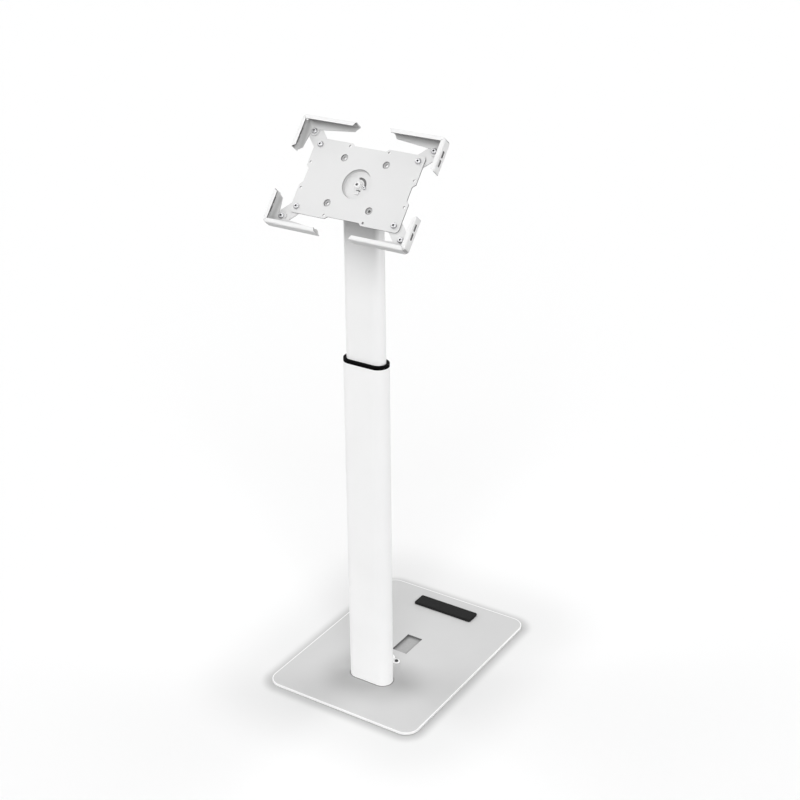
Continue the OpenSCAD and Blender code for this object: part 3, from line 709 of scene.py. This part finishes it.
# Fasteners: screws and nuts with domed heads, sockets, chamfers and threads, on the CAD's axes

# Thread sizes, as (shank diameter, pitch) in metres
THREAD_3 = (0.003, 0.0005)
THREAD_3_5 = (0.0035, 0.0006)
THREAD_5 = (0.005, 0.0008)
THREAD_6 = (0.006, 0.001)
THREAD_8 = (0.008, 0.00125)
CORNERS = ("top_right", "top_left", "bottom_right", "bottom_left")
# Node: (axis towards the head, thread size)
SCREWS = {
    "clamp_screws": (HEAD_NORMAL, THREAD_5),
    **{"claw_screw_" + corner: (HEAD_NORMAL, THREAD_5) for corner in CORNERS},
    "pivot_bolt": (HEAD_NORMAL, THREAD_6),
    "stop_screw": (HEAD_NORMAL, THREAD_3),
    "saddle_screws": (UP, THREAD_3_5),
    "hinge_bolt": (ACROSS, THREAD_8),
}
NUTS = {
    "clamp_nuts": (HEAD_NORMAL, THREAD_5),
    **{"claw_nut_" + corner: (HEAD_NORMAL, THREAD_5) for corner in CORNERS},
    "pivot_nut": (HEAD_NORMAL, THREAD_6),
    "hinge_nut": (ACROSS, THREAD_8),
}
# In shank diameters: the CAD's radii and heights, and how far apart one fastener's points may be
HEAD_R, HEAD_H, SOCKET_R, SOCKET_H, NUT_R = 0.95, 0.6, 0.34, 0.4, 0.92
FASTENER_REACH = 2.1
# In shank diameters, and not in the CAD: where the plain neck and the thread begin under the head,
# the chamfers, the height of the head's side and the radius of the flat on its dome, the depth of
# the socket's rim and of the cone at its bottom, the cone's tip, and where a nut's full edges begin
NECK, THREAD_END = 0.2, 0.25
CHAMFER = 0.04
HEAD_SIDE, DOME_FLAT = 0.24, 0.52
SOCKET_RIM, SOCKET_CONE, SOCKET_TIP = 0.03, 0.08, 0.02
NUT_EDGE = 0.1
# In pitches: the thread's depth. As shares: a screw's tip of its core, the socket's rim of its
# corner radius, a nut's chamfered face of its flat, and a bore's cut of the thread's depth
THREAD_DEPTH = 0.55
TIP_SHARE, RIM_SHARE, NUT_FACE_SHARE, BORE_SHARE = 0.85, 1.06, 0.97, 0.3
# How steep the thread's flanks are
FLANK = 1.6
# How finely they are made: points round a ring, and rows in a turn of thread, a dome and a chamfer
RING = 48
TURN_ROWS = 6
DOME_ROWS = 7
CHAMFER_ROWS = 4
DETAIL_SHARP_ANGLE = math.radians(28)


def hexagon(corner):
    """Radius of a hexagon at an angle, from its corner's radius."""
    flat = corner * math.cos(math.pi / 6)
    return lambda angle, z: flat / math.cos(angle % (math.pi / 3) - math.pi / 6)


def thread(radius, pitch):
    """Radius of a helical thread's crest and groove at an angle and height."""
    depth = THREAD_DEPTH * pitch

    def at(angle, z):
        turn = (z / pitch - angle / math.tau) % 1
        return radius - depth * (1 - min(1, abs(2 * turn - 1) * FLANK))
    return at


def screw_rows(d, length, pitch):
    """Rows of (height, radius, inside) from the tip, up over the head and down into the socket."""
    core = d / 2 - THREAD_DEPTH * pitch
    rows = [(-length, core * TIP_SHARE, False)]
    cut = thread(d / 2, pitch)
    z = -length + 0.5 * pitch
    while z < -THREAD_END * d:
        rows.append((z, cut, False))
        z += pitch / TURN_ROWS
    rows += [
        (-NECK * d, core, False),
        (0, core, False),
        (0, (HEAD_R - CHAMFER) * d, False),
        (CHAMFER * d, HEAD_R * d, False),
    ]
    top = HEAD_H * d
    side = HEAD_SIDE * d
    reach = (HEAD_R - DOME_FLAT) * d
    for i in range(DOME_ROWS + 1):
        a = math.pi / 2 * i / DOME_ROWS
        height = side + (top - side) * math.sin(a)
        rows.append((height, HEAD_R * d - reach * (1 - math.cos(a)), False))
    socket = hexagon(SOCKET_R * d)
    bottom = top - SOCKET_H * d
    rows += [
        (top, SOCKET_R * d * RIM_SHARE, False),
        (top - SOCKET_RIM * d, socket, True),
        (bottom, socket, True),
        (bottom - SOCKET_CONE * d, SOCKET_TIP * d, True),
    ]
    return rows


def nut_rows(d, height, pitch):
    """Rows of (height, radius, inside) round a chamfered nut, from its bore's lower end and back."""
    hexa = hexagon(NUT_R * d)
    flat = NUT_R * d * math.cos(math.pi / 6)
    bore = d / 2 - BORE_SHARE * THREAD_DEPTH * pitch
    mouth = bore + CHAMFER * d
    drops = [CHAMFER * d * i / CHAMFER_ROWS for i in range(CHAMFER_ROWS + 1)]

    def chamfered(drop):
        cone = flat * NUT_FACE_SHARE + drop * math.sqrt(3)
        return lambda angle, z: min(hexa(angle, z), cone)

    rows = [(0, mouth, False)]
    rows += [(drop, chamfered(drop), False) for drop in drops]
    rows += [(NUT_EDGE * d, hexa, False), (height - NUT_EDGE * d, hexa, False)]
    rows += [(height - drop, chamfered(drop), False) for drop in reversed(drops)]
    rows += [(height, mouth, False), (height - CHAMFER * d, bore, True), (CHAMFER * d, bore, True)]
    return rows


def lofted(rows, place, verts, faces, insides, closed):
    """Adds rings for the rows, joined in turn. Closed joins the last row to the first one."""
    first = len(verts)
    for z, radius, _ in rows:
        for i in range(RING):
            angle = math.tau * i / RING
            r = radius(angle, z) if callable(radius) else radius
            verts.append(place @ Vector((r * math.cos(angle), r * math.sin(angle), z)))
    count = len(rows)
    for k in range(count if closed else count - 1):
        after = (k + 1) % count
        a, b = first + k * RING, first + after * RING
        for i in range(RING):
            j = (i + 1) % RING
            faces.append((a + i, a + j, b + j, b + i))
            insides.append(rows[after][2])
    if not closed:
        faces.append(tuple(first + i for i in reversed(range(RING))))
        insides.append(False)
        last = first + (count - 1) * RING
        faces.append(tuple(last + i for i in range(RING)))
        insides.append(True)


def fasteners_of(node, axis, reach):
    """Each fastener of a CAD node as (point on its axis, lowest, highest along the axis)."""
    groups = []
    for vertex in frame["nodes"][node].data.vertices:
        along = vertex.co.dot(axis)
        off = vertex.co - along * axis
        for group in groups:
            if (group[0][1] - off).length < reach:
                group.append((along, off))
                break
        else:
            groups.append([(along, off)])
    found = []
    for group in groups:
        heights = [along for along, _ in group]
        low = Vector([min(off[i] for _, off in group) for i in range(3)])
        high = Vector([max(off[i] for _, off in group) for i in range(3)])
        found.append(((low + high) / 2, min(heights), max(heights)))
    return found


def screw_in(d, low, high, pitch):
    """A screw between two heights, as (rows, height of the rows' zero, closed)."""
    seat = high - HEAD_H * d
    return screw_rows(d, seat - low, pitch), seat, False


def nut_in(d, low, high, pitch):
    """A nut between two heights, as (rows, height of the rows' zero, closed)."""
    return nut_rows(d, high - low, pitch), low, True


def make_fasteners(node, axis, size, rows_in):
    d, pitch = size
    verts, faces, insides = [], [], []
    turn = axis.to_track_quat("Z", "Y").to_matrix().to_4x4()
    for middle, low, high in fasteners_of(node, axis, FASTENER_REACH * d):
        rows, start, closed = rows_in(d, low, high, pitch)
        place = Matrix.Translation(middle + start * axis) @ turn
        lofted(rows, place, verts, faces, insides, closed)
    mesh = bpy.data.meshes.new(node + "_detail")
    mesh.from_pydata(verts, [], faces)
    mesh.shade_smooth()
    mesh.set_sharp_from_angle(angle=DETAIL_SHARP_ANGLE)
    mesh.materials.append(NODE_COATS.get(node, MATERIALS["screw_steel"]))
    # Socket and bore faces get the dark painted shade
    mesh.materials.append(SOCKET_SHADES.get(node, SOCKET_SHADE_STEEL))
    mesh.polygons.foreach_set("material_index", [int(inside) for inside in insides])
    piece = bpy.data.objects.new(node + "_detail", mesh)
    link(piece)
    stand_in(piece, node)


def make_all_fasteners():
    for node, (axis, size) in SCREWS.items():
        make_fasteners(node, axis, size, screw_in)
    for node, (axis, size) in NUTS.items():
        make_fasteners(node, axis, size, nut_in)


# Stage


def seen_directly(tree):
    """1 for rays from the camera, and for what metal and glass mirror."""
    path = add(tree, "ShaderNodeLightPath").outputs
    mirrored = maths(tree, "MAXIMUM", path["Is Glossy Ray"], path["Is Transmission Ray"])
    return maths(tree, "MAXIMUM", path["Is Camera Ray"], mirrored)


def mix_shaders(tree, factor, first, second):
    node = add(tree, "ShaderNodeMixShader", {"Fac": factor})
    tree.links.new(first.outputs[0], node.inputs[1])
    tree.links.new(second.outputs[0], node.inputs[2])
    return node.outputs[0]


def floor_material():
    material, tree = shader_tree("floor")
    plain = add(tree, "ShaderNodeBsdfDiffuse", {"Color": (*grey(FLOOR_COLOUR), 1)})
    # Painted shadow on the floor round the base, darkest at its edge
    level = level_by(tree, BASE_OUTLINE, FLOOR_SHADES)
    colour = add(tree, "ShaderNodeVectorMath", {0: grey(FLOOR_SEEN_COLOUR), "Scale": level},
                 operation="SCALE")
    shown = add(tree, "ShaderNodeBsdfDiffuse", {"Color": colour.outputs["Vector"]})
    glow = add(tree, "ShaderNodeEmission", {"Color": (1, 1, 1, 1), "Strength": FLOOR_SEEN_GLOW})
    bright = add(tree, "ShaderNodeAddShader", {0: shown.outputs[0], 1: glow.outputs[0]})
    surface = mix_shaders(tree, seen_directly(tree), plain, bright)
    add(tree, "ShaderNodeOutputMaterial", {"Surface": surface})
    return material


def make_floor():
    h = FLOOR_HALF
    mesh = bpy.data.meshes.new("floor")
    mesh.from_pydata([(-h, -h, 0), (h, -h, 0), (h, h, 0), (-h, h, 0)], [], [(0, 1, 2, 3)])
    mesh.materials.append(floor_material())
    floor = bpy.data.objects.new("floor", mesh)
    link(floor)


def make_world():
    world = bpy.data.worlds.new("studio")
    bpy.context.scene.world = world
    world.use_nodes = True
    tree = world.node_tree
    tree.nodes.clear()
    way = add(tree, "ShaderNodeTexCoord").outputs["Generated"]
    height = add(tree, "ShaderNodeSeparateXYZ", {"Vector": way}).outputs["Z"]
    level = add(tree, "ShaderNodeMapRange", {
        "Value": height,
        "From Min": HORIZON_AT,
        "From Max": SKY_AT,
        "To Min": HORIZON_LEVEL,
        "To Max": SKY_LEVEL,
    }, interpolation_type="SMOOTHSTEP").outputs["Result"]
    lighting = add(tree, "ShaderNodeBackground", {"Color": (1, 1, 1, 1), "Strength": level})
    backdrop = add(tree, "ShaderNodeBackground", {"Color": (1, 1, 1, 1), "Strength": 1.0})
    surface = mix_shaders(tree, seen_directly(tree), lighting, backdrop)
    add(tree, "ShaderNodeOutputWorld", {"Surface": surface})


def add_lamp(name, azimuth, elevation, level, spread_angle):
    """A far, soft lamp. At level 1 a white surface that faces it renders as white."""
    data = bpy.data.lights.new(name, "SUN")
    data.energy = level * math.pi
    data.angle = math.radians(spread_angle)
    lamp = bpy.data.objects.new(name, data)
    lamp.rotation_mode = "QUATERNION"
    lamp.rotation_quaternion = towards(azimuth, elevation).to_track_quat("Z", "Y")
    link(lamp)


def make_camera():
    back = towards(CAMERA_AZIMUTH, CAMERA_ELEVATION)
    turn = back.to_track_quat("Z", "Y").to_matrix()
    roll = math.radians(CAMERA_ROLL)
    right, up = turn.col[0].copy(), turn.col[1].copy()
    turn.col[0] = math.cos(roll) * right + math.sin(roll) * up
    turn.col[1] = -math.sin(roll) * right + math.cos(roll) * up
    data = bpy.data.cameras.new("camera")
    data.sensor_width = SENSOR_MM
    data.lens = FOCAL_PX / IMAGE_PX * SENSOR_MM
    camera = bpy.data.objects.new("camera", data)
    camera.rotation_mode = "QUATERNION"
    camera.rotation_quaternion = turn.to_quaternion()
    camera.location = CAMERA_AT
    link(camera)
    bpy.context.scene.camera = camera


dress_nodes()
make_claws()
make_all_fasteners()
make_floor()
make_world()
for box, numbers in SOFT_BOXES.items():
    add_lamp(box, *numbers)
make_camera()
bpy.context.scene.view_settings.view_transform = "Standard"

bpy.context.view_layer.update()
